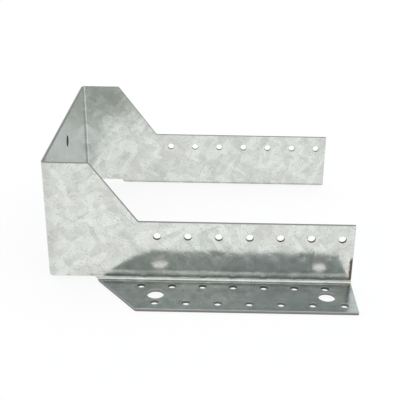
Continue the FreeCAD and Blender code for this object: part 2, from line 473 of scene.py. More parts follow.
class NodeGraph:
    """A node tree that is written as Python expressions."""

    def __init__(self, tree: bpy.types.NodeTree) -> None:
        """Empties the tree and takes it over."""
        self.tree = tree
        tree.nodes.clear()

    def node(
        self, kind: str, settings: dict[str, Any] | None = None, inputs: dict[str | int, Any] | None = None
    ) -> "Made":
        """Adds a node.

        Args:
            kind: The node's type.
            settings: Its properties, set first.
            inputs: Values or links of its sockets, by name or place.

        Returns:
            The node, whose outputs are read by name or place.
        """
        made = self.tree.nodes.new(kind)
        for name, value in (settings or {}).items():
            setattr(made, name, value)
        for key, value in (inputs or {}).items():
            socket = made.inputs[key]
            if isinstance(value, Sock):
                self.tree.links.new(value.socket, socket)
            else:
                socket.default_value = value
        return Made(self, made)

    def vector(self, operation: str, *values: Any, scale: Any = None) -> "Sock":
        """Adds a Vector Math node.

        Args:
            operation: What it does.
            values: Vectors or links, in order.
            scale: The number or link that SCALE takes.

        Returns:
            The vector that comes out.
        """
        inputs: dict[str | int, Any] = dict(enumerate(values))
        if scale is not None:
            inputs["Scale"] = scale
        return self.node("ShaderNodeVectorMath", {"operation": operation}, inputs)["Vector"]

    def blend(self, factor: Any, low: Any, high: Any) -> "Sock":
        """A colour between two colours, by a factor from 0 to 1."""
        inputs = {MIX_FACTOR: factor, MIX_LOW: rgba(low), MIX_HIGH: rgba(high)}
        return self.node("ShaderNodeMix", {"data_type": "RGBA"}, inputs)[MIX_RESULT]

    def rise(self, value: "Sock", span: Span) -> "Sock":
        """A smooth step from 0 where a span begins to 1 where it ends."""
        inputs = {"Value": value, "From Min": span[0], "From Max": span[1]}
        return self.node("ShaderNodeMapRange", {"interpolation_type": "SMOOTHSTEP"}, inputs)["Result"]

    def turned(self, place: "Sock", angle: Any) -> "Sock":
        """Places turned about the sheet's normal, by an angle in radians."""
        inputs = {"Vector": place, "Angle": angle}
        return self.node("ShaderNodeVectorRotate", {"rotation_type": "Z_AXIS"}, inputs)["Vector"]

    def between(self, value: "Sock", begins: Span, fades: Span) -> "Sock":
        """A smooth rise over one span and a fall over another."""
        return self.rise(value, begins) * (1 - self.rise(value, fades))

    def strongest(self, layers: list[Any]) -> "Sock":
        """The largest of several values at each place."""
        return functools.reduce(lambda most, layer: most.maths("MAXIMUM", most, layer), layers)

    def noise(self, place: "Sock", scale: float, detail: float = 2.0, roughness: float = 0.5) -> "Made":
        """A noise texture."""
        inputs = {"Vector": place, "Scale": scale, "Detail": detail, "Roughness": roughness}
        return self.node("ShaderNodeTexNoise", None, inputs)


def rgba(colour: Any) -> Any:
    """A plain colour with its alpha; a link passes through."""
    return colour if isinstance(colour, Sock) else (*colour, 1.0)


def varied(patches: "Sock", share: float) -> "Sock":
    """A factor that is 1 in patches and falls short of it elsewhere, by a share."""
    return (1 - share) + share * patches


def weighed(weights: Weights, layers: dict[str, "Sock"]) -> "Sock":
    """The sum of the layers that weights name, each times its weight."""
    return sum(weight * layers[name] for name, weight in weights)


class Made:
    """A node that has been added, whose outputs are sockets to reckon with."""

    def __init__(self, graph: NodeGraph, made: bpy.types.Node) -> None:
        """Holds the node and its graph."""
        self.graph = graph
        self.made = made

    def __getitem__(self, key: str | int) -> "Sock":
        """The output of that name or place."""
        return Sock(self.graph, self.made.outputs[key])


class Sock:
    """A socket in Python arithmetic: each operation adds one Math node."""

    def __init__(self, graph: NodeGraph, socket: bpy.types.NodeSocket) -> None:
        """Holds the socket and its graph."""
        self.graph = graph
        self.socket = socket

    def maths(self, operation: str, *values: Any) -> "Sock":
        """A Math node on values and links."""
        return self.graph.node("ShaderNodeMath", {"operation": operation}, dict(enumerate(values)))["Value"]

    def __add__(self, other: Any) -> "Sock":
        """This plus other."""
        return self.maths("ADD", self, other)

    def __radd__(self, other: Any) -> "Sock":
        """Other plus this."""
        return self.maths("ADD", other, self)

    def __sub__(self, other: Any) -> "Sock":
        """This minus other."""
        return self.maths("SUBTRACT", self, other)

    def __rsub__(self, other: Any) -> "Sock":
        """Other minus this."""
        return self.maths("SUBTRACT", other, self)

    def __mul__(self, other: Any) -> "Sock":
        """This times other."""
        return self.maths("MULTIPLY", self, other)

    def __rmul__(self, other: Any) -> "Sock":
        """Other times this."""
        return self.maths("MULTIPLY", other, self)

    def __truediv__(self, other: Any) -> "Sock":
        """This over other."""
        return self.maths("DIVIDE", self, other)

    def __rpow__(self, other: Any) -> "Sock":
        """A number to the power of this."""
        return self.maths("POWER", other, self)

    def __abs__(self) -> "Sock":
        """This without its sign."""
        return self.maths("ABSOLUTE", self)


@dataclass(frozen=True)
class Bump:
    """A smooth bump across a line on the blank.

    Attributes:
        centre: Where it is full, in millimetres.
        width: How far to either side it has fallen to 1/e.
        amount: How strong it is.
    """

    centre: float
    width: float
    amount: float = 1.0

    def draw(self, where: Sock) -> Sock:
        """The bump at places across its line."""
        off = (where - self.centre) / self.width
        return self.amount * math.e ** (-1.0 * off * off)


@dataclass(frozen=True)
class Patches:
    """Soft patches, cut from a noise.

    Attributes:
        size: Size of a patch, in millimetres.
        span: Levels of the noise between which a patch comes in.
        detail: How many finer noises are laid over it.
        roughness: How strong those are.
    """

    size: float
    span: Span
    detail: float = 2.0
    roughness: float = 0.5

    def draw(self, graph: NodeGraph, where: Sock) -> Sock:
        """How much of a patch lies at each place, from 0 to 1."""
        noise = graph.noise(where, 1 / self.size, self.detail, self.roughness)["Fac"]
        return graph.rise(noise, self.span)


@dataclass(frozen=True)
class Strokes:
    """Marks on the sheet that lie along a few directions, in patches.

    Attributes:
        angles: The direction of each layer of marks, in radians.
        length: Length of a mark, in millimetres.
        width: Width of a mark, in millimetres.
        keep: Level of the drawn-out noise above which a mark shows.
        patch: Size of a patch with marks, in millimetres.
        free: Level of the patches' noise below which there are no marks.
        seed: Shift of the noises, which makes one set unlike another.
        layer_shift: Further shift from one layer to the next.
        line_edge: How far the drawn-out noise rises until a mark is full.
        patch_edge: How far the patches' noise rises until a patch is full.
    """

    angles: tuple[float, ...]
    length: float
    width: float
    keep: float
    patch: float
    free: float
    seed: float
    layer_shift: float = 37.0
    line_edge: float = 0.08
    patch_edge: float = 0.14

    def draw(self, graph: NodeGraph, flat: Sock) -> Sock:
        """Draws the marks.

        Each layer is a noise drawn out along one direction, of which only the peaks are kept. The strongest
        layer counts, and a second, wider noise leaves part of the sheet free of marks.

        Args:
            graph: The material's graph.
            flat: Places on the blank, in millimetres.

        Returns:
            How marked the zinc is, from 0 to 1.
        """
        shape = (1 / self.length, 1 / self.width, 1.0)
        layers = []
        for number, angle in enumerate(self.angles):
            shift = (self.seed + self.layer_shift * number,) * 3
            drawn = graph.vector("MULTIPLY_ADD", graph.turned(flat, angle), shape, shift)
            lines = graph.noise(drawn, 1.0, detail=1.0)["Fac"]
            spread = graph.noise(graph.vector("ADD", flat, shift), 1 / self.patch, detail=1.0)["Fac"]
            shown = graph.rise(lines, (self.keep, self.keep + self.line_edge))
            layers.append(shown * graph.rise(spread, (self.free, self.free + self.patch_edge)))
        return graph.strongest(layers)


@dataclass(frozen=True)
class Reach:
    """Spans of the blank, in millimetres, over which a part of the finish comes in or fades.

    Ends and feet along the U are on s without its sign. Tops and feet across the sheet are on h.
    """

    inner_skin: Span = (340.0, 360.0)
    # Where the painted shade on the seat's inner face fades into the bend.
    seat_shade_fade: Span = (76.0, 80.0)
    header_crease: Span = (104.0, 108.5)
    # Where the painted contact shadow along the inner skin's foot comes in.
    foot_contact_shadow: Span = (104.0, 110.0)
    flange_foot: Span = (118.0, 160.0)
    flange_end: Span = (178.0, 225.0)
    flange_top: Span = (-5.0, -3.0)
    tool_step: Span = (108.5, 113.5)
    leaning_leg: Span = (108.0, 116.0)
    lean_begins: Span = (0.0, 2.0)
    lean_fades: Span = (9.0, 30.0)
    sprung_end: Span = (246.0, 279.0)
    sprung_foot: Span = (-1.0, 3.0)
    scuffed_end: Span = (266.0, 276.0)
    scuffed_top: Span = (-4.0, -2.0)
    burr_end: Span = (277.3, 278.5)
    burr_begins: Span = (-0.5, 1.5)
    burr_fades: Span = (15.0, 18.5)
    bloom_end: Span = (268.0, 280.0)
    bloom_begins: Span = (-4.0, -1.0)
    bloom_fades: Span = (4.0, 15.0)


@dataclass(frozen=True)
class Cover:
    """A colour laid over the grains.

    Attributes:
        layer: Name of the layer that says where.
        colour: The colour.
        share: How much of it shows where the layer is full.
    """

    layer: str
    colour: Colour
    share: float = 1.0


@dataclass(frozen=True)
class GalvanisedSteel:
    """Hot-dip zinc on steel sheet: half bright, with angular spangle, cracks, scratches and bare cut edges.

    Sizes are in millimetres on the blank. Weights say how much each layer of the coat counts.

    Attributes:
        dark_grain, bright_grain: Colours between which the light of a grain lies.
        bare_steel, torn_steel, hole_shade: Colours of a cut where it is burnished and torn, and painted shade
            in the holes.
        covers: Colours laid over the grains, in order; the seat's, and part of the fold lines', are painted
            shade.
        plain_light, light: Light of plain zinc, and what each layer adds to it.
        plain_rough, rough: Roughness of plain zinc, and what each layer adds to it.
        steel_rough, torn_rough: Roughness of a burnished cut, and what tearing adds to it.
        relief: Height of each layer.
        plain_dull, dull: Dullness of a flange, and what each layer adds to it.
        grain_tilt, facet_tilt, step_tilt, leg_tilt, end_tilt: Slopes by which the surface is tilted.
        header_uneven, flange_uneven, inner_uneven, step_uneven: Shares that a noise takes away.
        grain_mm, facet_mm, ripple_mm: Sizes of the large grains, the small ones and the ripple.
        drift_mm, warp, wander: Size of the noise that shifts borders and flecks, and how far it does.
        fine_detail, feather_shape: Detail of the fine noises, and how the feathering is drawn out.
        shard_ways: Angle, length and width of each set of long grains.
        shard_haze: How much more haze a light long grain has.
        light_shards, dark_shards: Levels beyond which a long grain is light or dark.
        crack_fades, rim_begins, rim_fades: Distances from a border at which cracks and rims end.
        facet_cracks: Strength of the cracks between small grains.
        crack_stretches, crack_shift: Where cracks show, and the shift of that noise.
        hole_shade_span: Bareness between which the painted shade in the holes comes in.
        scratches, dark_flecks, light_flecks: Marks on the zinc.
        uneven_creases: Where the creases are full.
        header_crease, flange_creases: Dark lines along the header fold on the outer skin.
        seat_bend_shade: Painted shade on the outer skin of the seat bend.
        foot_contact_shadow: Painted contact shadow on the inner skin, where the header fold meets the table.
        seat_creases: Dark lines in and beside the seat bend on the inner skin.
        streaks, streak_mm: Lighter streaks on a flange, and their length and width.
        tool_step, uneven_step: The step that the folding tool left, and where it is full.
        step_wander, step_wander_mm: How far the step's line wanders, and over what length.
        fold_hollow: Slope at the hollow of the header fold.
        burr_mm, burr_ragged: Size and depth of the burr's ragged edge.
        tear_mm, tear_ragged: Size and depth of the ragged line where a cut begins to tear.
        tear_span: Depths between which it does, in half thicknesses.
        hole_shade_span: Bareness between which grime comes in.
        reach: Where on the blank each part of the finish comes in.
    """

    dark_grain: Colour = (0.515, 0.540, 0.510)
    bright_grain: Colour = (0.895, 0.912, 0.865)
    bare_steel: Colour = (0.29, 0.29, 0.285)
    torn_steel: Colour = (0.22, 0.22, 0.215)
    # Painted shade for the inside of the holes' walls.
    hole_shade: Colour = (0.05, 0.05, 0.048)
    covers: tuple[Cover, ...] = (
        Cover("cool", (0.655, 0.735, 0.735), 0.08),
        Cover("smudge", (0.665, 0.652, 0.605), 0.15),
        Cover("cracked", (0.30, 0.31, 0.29), 0.42),
        Cover("fleck", (0.30, 0.31, 0.29), 0.62),
        Cover("scratch", (0.30, 0.31, 0.29), 0.35),
        Cover("drawn_out", (0.47, 0.505, 0.50)),
        # Painted shade on the seat's inner face, in the hollow of the U.
        Cover("clamped", (0.47, 0.52, 0.54), 0.63),
        # Dark fold lines: partly crazing of the zinc, partly painted shade and painted contact shadow.
        Cover("crazed", (0.275, 0.285, 0.272), 0.85),
        Cover("bloom", (0.60, 0.55, 0.43), 0.5),
        Cover("burr", (0.085, 0.068, 0.05), 0.95),
    )
    plain_light: float = 0.225
    light: Weights = (
        ("grain", 0.14), ("facet", 0.20), ("feather", 0.09), ("light_shard", 0.24), ("dark_shard", -0.12),
        ("rim", 0.16), ("glint", 0.30),
    )
    plain_rough: float = 0.115
    rough: Weights = (
        ("grain_sheen", 0.05), ("facet_sheen", 0.02), ("smudge", 0.03), ("scratch", 0.1), ("crazed", 0.1),
        ("step", 0.38), ("scuffed", 0.05),
    )
    steel_rough: float = 0.34
    torn_rough: float = 0.15
    relief: Weights = (
        ("ripple", 0.010), ("feather", 0.0015), ("scratch", -0.006), ("cracked", -0.008), ("fleck", -0.004),
    )
    plain_dull: float = 0.17
    dull: Weights = (("foot", 0.53), ("end", 0.60), ("streak", -0.28))
    grain_tilt: float = 0.024
    facet_tilt: float = 0.012
    step_tilt: float = 0.11
    leg_tilt: float = 0.046
    end_tilt: float = 0.065
    header_uneven: float = 0.6
    flange_uneven: float = 0.25
    inner_uneven: float = 0.35
    step_uneven: float = 0.45
    grain_mm: float = 9.0
    facet_mm: float = 3.6
    drift_mm: float = 7.0
    ripple_mm: float = 4.0
    warp: float = 0.3
    wander: float = 2.2
    fine_detail: float = 3.0
    feather_shape: tuple[float, float, float] = (0.16, 1.3, 0.0)
    shard_ways: tuple[tuple[float, float, float], ...] = ((0.6, 12.0, 4.5), (-0.95, 10.0, 4.0))
    shard_haze: float = 2.0
    light_shards: Span = (0.76, 0.80)
    dark_shards: Span = (0.12, 0.16)
    crack_fades: Span = (0.06, 0.34)
    rim_begins: Span = (0.15, 0.4)
    rim_fades: Span = (0.5, 1.1)
    facet_cracks: float = 0.55
    crack_stretches: Patches = Patches(6.0, (0.51, 0.61))
    crack_shift: tuple[float, float, float] = (31.0, 7.0, 0.0)
    haze: Patches = Patches(15.0, (0.46, 0.70))
    smudges: Patches = Patches(34.0, (0.44, 0.68), 3.0, 0.6)
    scratches: Strokes = Strokes((0.5, -0.75, 1.9), 16.0, 0.67, 0.70, 22.0, 0.48, 11.0)
    dark_flecks: Strokes = Strokes((0.05, 1.55, 0.75, -0.6), 4.2, 0.62, 0.66, 13.0, 0.44, 131.0)
    light_flecks: Strokes = Strokes((1.55, 0.62, -0.9), 9.0, 0.8, 0.66, 15.0, 0.42, 257.0)
    uneven_creases: Patches = Patches(9.0, (0.35, 0.6))
    header_crease: Bump = Bump(1.35, 0.85)
    flange_creases: tuple[Bump, ...] = (Bump(-3.7, 1.6, 1.2), Bump(-8.0, 4.0, 0.15), Bump(-12.0, 4.0, 0.52))
    # Painted shade on the outer skin of the seat bend, where it curves away.
    seat_bend_shade: Bump = Bump(81.0, 3.4, 0.2)
    # Painted contact shadow along the inner skin's foot, where the header fold meets the table.
    foot_contact_shadow: Bump = Bump(-1.4, 0.7, 0.9)
    seat_creases: tuple[Bump, ...] = (Bump(75.0, 3.2, 0.95), Bump(80.6, 1.2, 0.4))
    streaks: Patches = Patches(1.0, (0.42, 0.66))
    streak_mm: Span = (30.0, 2.2)
    tool_step: Bump = Bump(4.1, 1.4)
    uneven_step: Patches = Patches(12.0, (0.35, 0.6))
    step_wander: float = 1.6
    step_wander_mm: float = 5.0
    fold_hollow: Bump = Bump(-0.7, 1.1, 0.32)
    burr_mm: float = 2.5
    burr_ragged: float = 1.8
    tear_mm: float = 3.0
    tear_ragged: float = 0.5
    tear_span: Span = (-0.1, 0.25)
    hole_shade_span: Span = (1.0, 2.0)
    reach: Reach = Reach()

    def material(self) -> bpy.types.Material:
        """Draws the finish on the blank's own map, so that its grain runs on through the folds.

        Returns:
            The material, named for its slot.
        """
        material = bpy.data.materials.new(SLOT)
        material.use_nodes = True
        coat = ZincCoat(self, material.node_tree)
        inputs = {"Base Color": coat.colour(), "Roughness": coat.roughness(), "Normal": coat.normal()}
        shader = coat.graph.node("ShaderNodeBsdfPrincipled", None, {**inputs, "Metallic": 1.0})["BSDF"]
        coat.graph.node("ShaderNodeOutputMaterial", None, {"Surface": shader})
        return material


class ZincCoat:
    """The galvanised finish as a graph: places on the blank, the layers drawn there, and the outputs."""

    def __init__(self, finish: GalvanisedSteel, tree: bpy.types.NodeTree) -> None:
        """Reads where each point lies on the blank, and draws the layers.

        Args:
            finish: The finish to draw.
            tree: The material's tree, which is emptied first.
        """
        self.finish, self.reach = finish, finish.reach
        self.graph = graph = NodeGraph(tree)
        blank = graph.node("ShaderNodeUVMap", {"uv_map": BLANK_MAP})["UV"]
        self.flat = graph.vector("SCALE", blank, scale=1 / MM)
        self.solid = graph.vector("SCALE", graph.node("ShaderNodeTexCoord")["Object"], scale=1 / MM)
        place = graph.node("ShaderNodeSeparateXYZ", None, {"Vector": self.flat})
        self.across, self.along = place["Y"], abs(place["X"])
        self.inner_along = abs(place["X"] - INNER_SHIFT)
        self.inner = graph.rise(place["X"], self.reach.inner_skin)
        self.outer = 1 - self.inner
        drift = graph.vector("SUBTRACT", graph.noise(self.flat, 1 / finish.drift_mm)["Color"], MIDDLE)
        self.warped, wandering = (
            graph.vector("ADD", self.flat, graph.vector("SCALE", drift, scale=far))
            for far in (finish.warp, finish.wander)
        )
        self.grain = self.cells(self.warped, finish.grain_mm)["Color"]
        self.facet = self.cells(self.warped, finish.facet_mm)["Color"]
        grain, facet = self.parts(self.grain), self.parts(self.facet)
        self.layers = layers = {
            "grain": grain["Red"],
            "facet": facet["Red"],
            "grain_sheen": grain["Blue"],
            "facet_sheen": facet["Blue"],
            "feather": self.feather(grain["Green"]),
            "ripple": graph.noise(self.flat, 1 / finish.ripple_mm)["Fac"],
            "smudge": finish.smudges.draw(graph, self.solid),
            "scratch": finish.scratches.draw(graph, self.flat),
            "fleck": finish.dark_flecks.draw(graph, wandering),
            "glint": finish.light_flecks.draw(graph, self.flat),
            # Dark lines along the folds, partly crazing of the zinc and partly painted shade.
            "crazed": self.creases(),
            "step": self.tool_step(),
            "drawn_out": self.drawn_out(),
            # Painted shade on the inner face of the seat, fading out into the bend.
            "clamped": self.inner * (1 - graph.rise(self.inner_along, self.reach.seat_shade_fade)),
            "scuffed": self.scuffed(),
        }
        layers["light_shard"], layers["dark_shard"] = self.shards()
        layers["cracked"], layers["rim"] = self.cracks()
        layers["burr"], layers["bloom"] = self.rust()
        layers["cool"] = finish.haze.draw(graph, self.flat) + finish.shard_haze * layers["light_shard"]
        self.cut = graph.node("ShaderNodeAttribute", {"attribute_name": CUT_ATTRIBUTE})["Fac"]
        self.bare = self.cut.maths("MINIMUM", self.cut, 1.0)
        depth = graph.node("ShaderNodeAttribute", {"attribute_name": DEPTH_ATTRIBUTE})["Fac"]
        ragged = finish.tear_ragged * (graph.noise(self.solid, 1 / finish.tear_mm)["Fac"] - HALF_LEVEL)
        self.torn = 1 - graph.rise(depth + ragged, finish.tear_span)

    def colour(self) -> Sock:
        """Colours the sheet: the grains, one cover after another over them, some of them painted shade, and
        bare steel on the cuts, which past a bareness of 1 turns to painted shade in the holes.

        Returns:
            The base colour.
        """
        finish, graph = self.finish, self.graph
        light = finish.plain_light + weighed(finish.light, self.layers)
        zinc = graph.blend(light, finish.dark_grain, finish.bright_grain)
        for cover in finish.covers:
            zinc = graph.blend(cover.share * self.layers[cover.layer], zinc, cover.colour)
        steel = graph.blend(self.torn, finish.bare_steel, finish.torn_steel)
        # Past a bareness of 1, painted shade darkens the holes' walls.
        steel = graph.blend(graph.rise(self.cut, finish.hole_shade_span), steel, finish.hole_shade)
        return graph.blend(self.bare, zinc, steel)

    def roughness(self) -> Sock:
        """Adds up the roughness: each grain's own, more on marks and in the folds, and steel's on the cuts.

        Returns:
            The roughness, from 0 to 1.
        """
        zinc = self.finish.plain_rough + weighed(self.finish.rough, self.layers)
        steel = self.finish.steel_rough + self.finish.torn_rough * self.torn
        return zinc + self.bare * (steel - zinc)

    def normal(self) -> Sock:
        """Tilts the surface: by each grain, by the lean and spring of the legs, and by the marks' relief.

        Returns:
            The normal.
        """
        finish, graph = self.finish, self.graph
        leaning = graph.node("ShaderNodeNewGeometry")["Normal"]
        for colour, slope in ((self.grain, finish.grain_tilt), (self.facet, finish.facet_tilt)):
            tilt = graph.vector("SCALE", graph.vector("SUBTRACT", colour, MIDDLE), scale=slope)
            leaning = graph.vector("ADD", leaning, tilt)
        sprung = finish.end_tilt * graph.rise(self.along, self.reach.sprung_end) * self.outer
        sprung = sprung * graph.rise(self.across, self.reach.sprung_foot)
        lean = self.lean() * self.outer + finish.step_tilt * self.layers["step"]
        upright = graph.node("ShaderNodeCombineXYZ", None, {"X": sprung, "Z": lean})["Vector"]
        leaning = graph.vector("NORMALIZE", graph.vector("ADD", leaning, upright))
        inputs = {"Distance": MM, "Height": weighed(finish.relief, self.layers), "Normal": leaning}
        return graph.node("ShaderNodeBump", None, inputs)["Normal"]

    def feather(self, turn: Sock) -> Sock:
        """Fine feathering: a noise drawn out along each grain's own direction.

        Args:
            turn: That direction, as a share of a full turn.

        Returns:
            How light the feathering is, from 0 to 1.
        """
        way = self.graph.turned(self.flat, turn * (2 * math.pi))
        way = self.graph.vector("MULTIPLY", way, self.finish.feather_shape)
        return self.graph.noise(way, 1.0, self.finish.fine_detail)["Fac"]

    def scuffed(self) -> Sock:
        """The rubbed end of a flange's top, from 0 to 1."""
        top = 1 - self.graph.rise(self.across, self.reach.scuffed_top)
        return self.graph.rise(self.along, self.reach.scuffed_end) * top * self.outer

    def cells(self, where: Sock, size: float, feature: str = "F1") -> Made:
        """Cells of the spangle, of a size in millimetres."""
        settings = {"voronoi_dimensions": "2D", "feature": feature}
        return self.graph.node("ShaderNodeTexVoronoi", settings, {"Vector": where, "Scale": 1 / size})

    def parts(self, colour: Sock) -> Made:
        """A colour by its parts, each a random level of a grain."""
        return self.graph.node("ShaderNodeSeparateColor", None, {"Color": colour})

    def cracks(self) -> tuple[Sock, Sock]:
        """Short dark cracks between grains, each with a lighter rim.

        A crack follows the border between two cells, and a noise leaves only short stretches of it.

        Returns:
            How cracked the zinc is and how much of a rim it has, each from 0 to 1.
        """
        finish, graph = self.finish, self.graph
        stretch = finish.crack_stretches.draw(graph, graph.vector("ADD", self.flat, finish.crack_shift))
        lines, rims = [], []
        for size, strength in ((finish.grain_mm, 1.0), (finish.facet_mm, finish.facet_cracks)):
            border = size * self.cells(self.warped, size, "DISTANCE_TO_EDGE")["Distance"]
            lines.append(strength * (1 - graph.rise(border, finish.crack_fades)))
            rims.append(strength * graph.between(border, finish.rim_begins, finish.rim_fades))
        return graph.strongest(lines) * stretch, graph.strongest(rims) * stretch

    def shards(self) -> tuple[Sock, Sock]:
        """Long angular grains in the spangle.

        Each set is a pattern of cells drawn out along one direction, of which a few are light and a few
        dark.

        Returns:
            Where a light grain lies and where a dark one does, each from 0 to 1.
        """
        finish, graph = self.finish, self.graph
        light, dark = [], []
        for angle, length, width in finish.shard_ways:
            drawn = graph.vector("MULTIPLY", graph.turned(self.flat, angle), (1 / length, 1 / width, 0.0))
            level = self.parts(self.cells(drawn, 1.0)["Color"])["Red"]
            light.append(graph.rise(level, finish.light_shards))
            dark.append(1 - graph.rise(level, finish.dark_shards))
        return graph.strongest(light), graph.strongest(dark)

    def creases(self) -> Sock:
        """Dark lines along each fold: partly crazing of the zinc, partly painted shade.

        Each crease is a bump across the fold, uneven along it. On the outer skin they lie above the header
        fold and on the flange beside it, and a painted shade lies on the seat bend, where the sheet curves
        away.
        On the inner skin they lie in and beside the seat bend, and a painted contact shadow lies where the
        header fold meets the table.

        Returns:
            How dark the lines are, crazing and painted shade together, from 0 to about 1.
        """
        finish, reach, graph = self.finish, self.reach, self.graph
        uneven = finish.uneven_creases.draw(graph, self.flat)
        flange = sum(bump.draw(self.across) for bump in finish.flange_creases)
        header = finish.header_crease.draw(self.across) * varied(uneven, finish.header_uneven)
        header = header + flange * varied(uneven, finish.flange_uneven)
        # The last term is painted shade on the outer skin of the seat bend.
        outer = header * graph.rise(self.along, reach.header_crease) + finish.seat_bend_shade.draw(self.along)
        # Painted contact shadow where the inner skin's foot meets the table.
        under = finish.foot_contact_shadow.draw(self.across) * graph.rise(self.inner_along, reach.foot_contact_shadow)
        seat = sum(bump.draw(self.inner_along) for bump in finish.seat_creases)
        inner = (under + seat) * varied(uneven, finish.inner_uneven)
        return outer * self.outer + inner * self.inner

    def drawn_out(self) -> Sock:
        """The dull zinc on the flanges, where the folding tool was drawn over them.

        It is dullest at the foot of a flange and towards its end, and a noise drawn out along the fold
        leaves lighter streaks in it.

        Returns:
            How dull the zinc of the outer skin is, from 0 to 1.
        """
        finish, reach, graph = self.finish, self.reach, self.graph
        length, width = finish.streak_mm
        drawn = graph.vector("MULTIPLY", self.flat, (1 / length, 1 / width, 0.0))
        layers = {
            "foot": 1 - graph.rise(self.along, reach.flange_foot),
            "end": graph.rise(self.along, reach.flange_end),
            "streak": finish.streaks.draw(graph, drawn),
        }
        dull = graph.strongest([finish.plain_dull + weighed(finish.dull, layers), 0.0])
        return dull * (1 - graph.rise(self.across, reach.flange_top)) * self.outer

    def tool_step(self) -> Sock:
        """The matt step that the folding tool leaves along the foot of a leg, facing up.

        It is a bump across the sheet, with its middle line and its height shifted along it by a noise, and
        it stops short of the seat.

        Returns:
            The step's height on the outer skin, from 0 to 1.
        """
        finish, graph = self.finish, self.graph
        wander = graph.noise(self.flat, 1 / finish.step_wander_mm)["Fac"] - HALF_LEVEL
        step = finish.tool_step.draw(self.across + finish.step_wander * wander)
        uneven = varied(finish.uneven_step.draw(graph, self.flat), finish.step_uneven)
        return step * uneven * graph.rise(self.along, self.reach.tool_step) * self.outer

    def lean(self) -> Sock:
        """How the outer skin of a leg leans at its header fold.

        The fold is closed a little past square, so the foot of the leg leans over the flange, and less so
        higher up. The hollow of the fold opens a little wider than its arc at the leg's side. Both stop
        short of the seat.

        Returns:
            The lean as a slope, upwards if positive.
        """
        reach, graph = self.reach, self.graph
        over = self.finish.leg_tilt * graph.between(self.across, reach.lean_begins, reach.lean_fades)
        return (self.finish.fold_hollow.draw(self.across) - over) * graph.rise(self.along, reach.leaning_leg)

    def rust(self) -> tuple[Sock, Sock]:
        """The burr at the foot of each leg's end, where the shear has dragged the zinc off.

        It lies within two millimetres of the end, ragged by a noise, and fades out up the leg. A faint
        bloom of rust spreads from it along the fold.

        Returns:
            How far the zinc is gone, and how strong the bloom is, each from 0 to 1.
        """
        finish, reach, graph = self.finish, self.reach, self.graph
        noise = graph.noise(self.flat, 1 / finish.burr_mm, finish.fine_detail)["Fac"]
        ragged = self.along + finish.burr_ragged * noise
        burr = graph.rise(ragged, reach.burr_end) * self.outer
        bloom = graph.rise(ragged, reach.bloom_end) * self.outer
        burr = burr * graph.between(self.across, reach.burr_begins, reach.burr_fades)
        return burr, bloom * graph.between(self.across, reach.bloom_begins, reach.bloom_fades)


